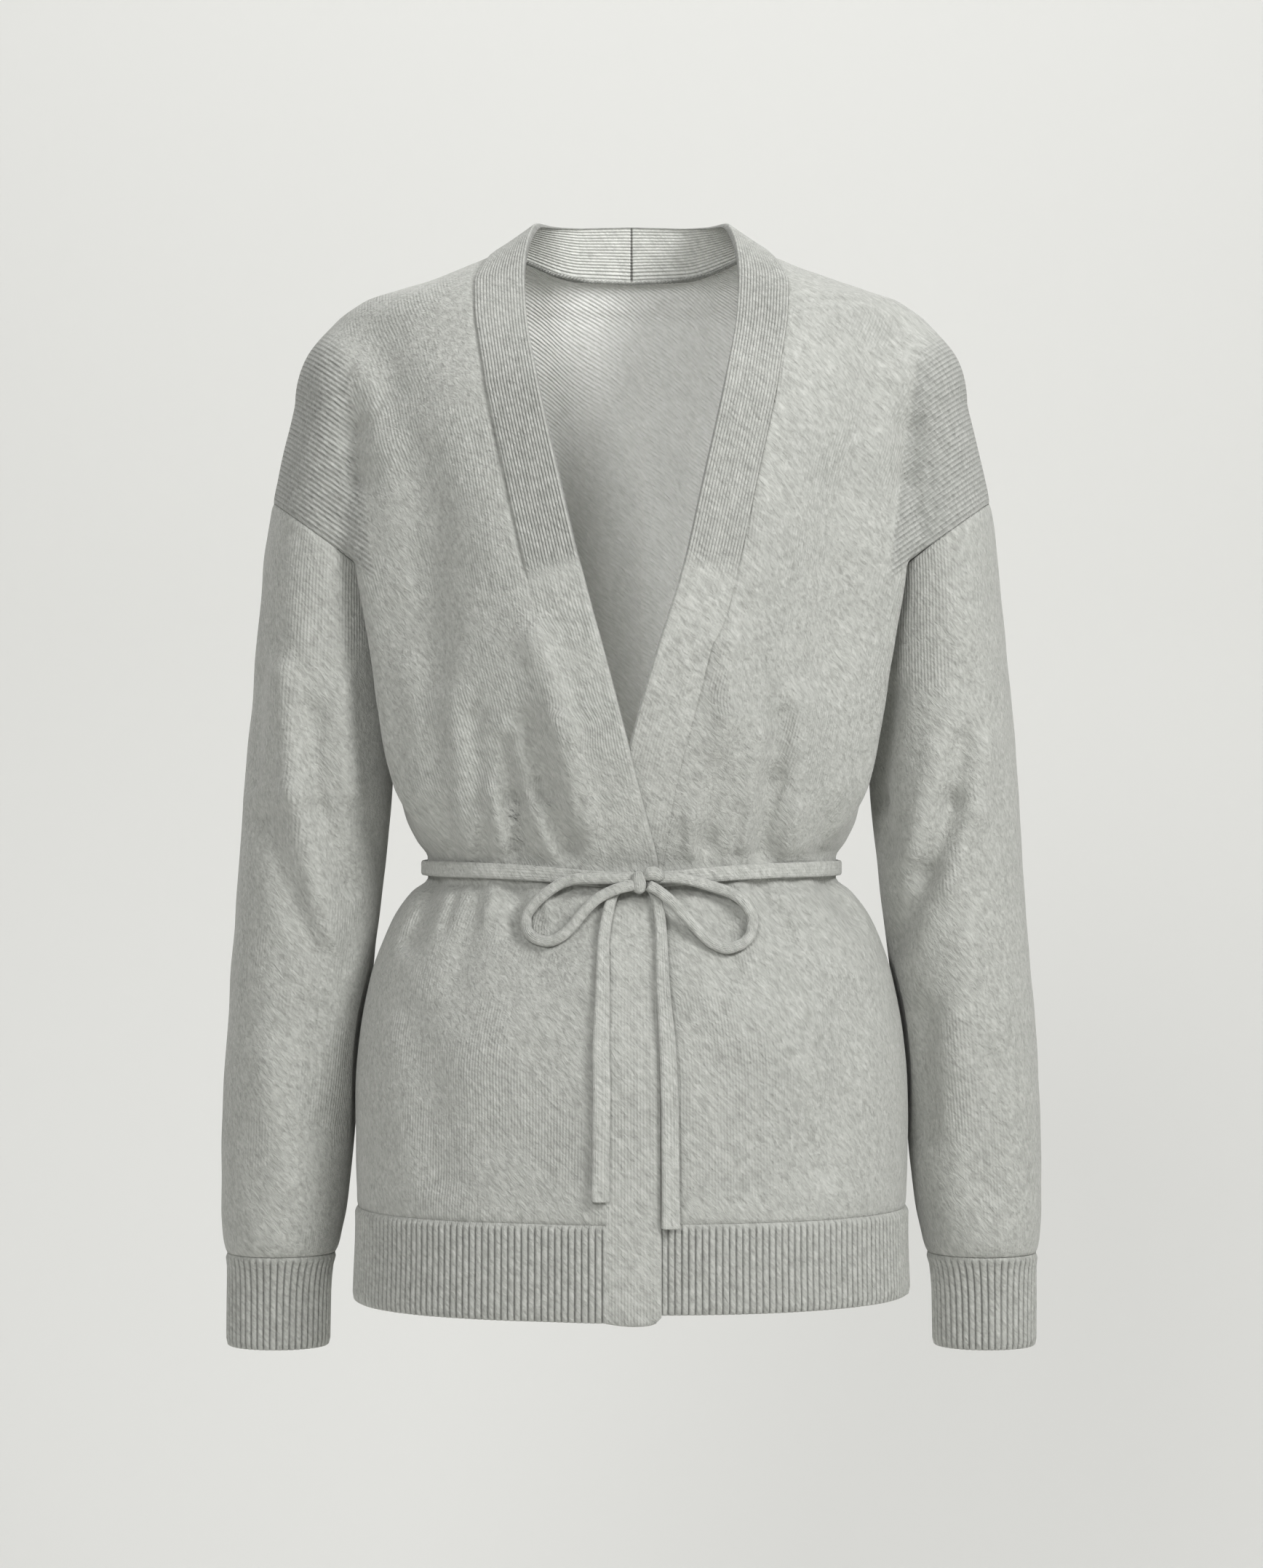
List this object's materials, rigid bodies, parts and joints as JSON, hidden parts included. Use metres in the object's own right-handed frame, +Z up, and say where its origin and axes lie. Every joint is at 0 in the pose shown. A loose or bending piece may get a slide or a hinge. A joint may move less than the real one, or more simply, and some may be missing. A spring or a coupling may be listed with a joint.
{
  "type": "wrap cardigan",
  "caption": "Long-sleeved knitted wrap cardigan, filled out with no wearer, with a V neck, ribbed cuffs and hem, and a narrow belt tied in a bow.",
  "frame": {"origin": "middle of the neck opening, at the height of the highest points of the shoulders", "axes": "+X to the wearer's left, +Y out of the back, +Z up"},
  "size_m": [0.5098, 0.2465, 0.7008],
  "materials": {
    "body_knit": "brushed wool knit",
    "ribbed_knit": "ribbed wool knit",
    "band_knit": "fine ribbed wool knit",
    "belt_knit": "knitted wool cord"
  },
  "bodies": {
    "root": {"front_right": "body_knit", "front_left": "body_knit", "back": "body_knit", "sleeve_right": "body_knit", "sleeve_left": "body_knit", "cuff_right": "ribbed_knit", "cuff_left": "ribbed_knit", "hem_rib_right": "ribbed_knit", "hem_rib_left": "ribbed_knit", "hem_rib_back": "ribbed_knit", "band_right": "band_knit", "band_left": "band_knit", "belt_waist": "belt_knit", "belt_knot": "belt_knit", "belt_loop_right": "belt_knit", "belt_loop_left": "belt_knit", "belt_tail_right": "belt_knit", "belt_tail_left": "belt_knit"}
  },
  "joints": []
}
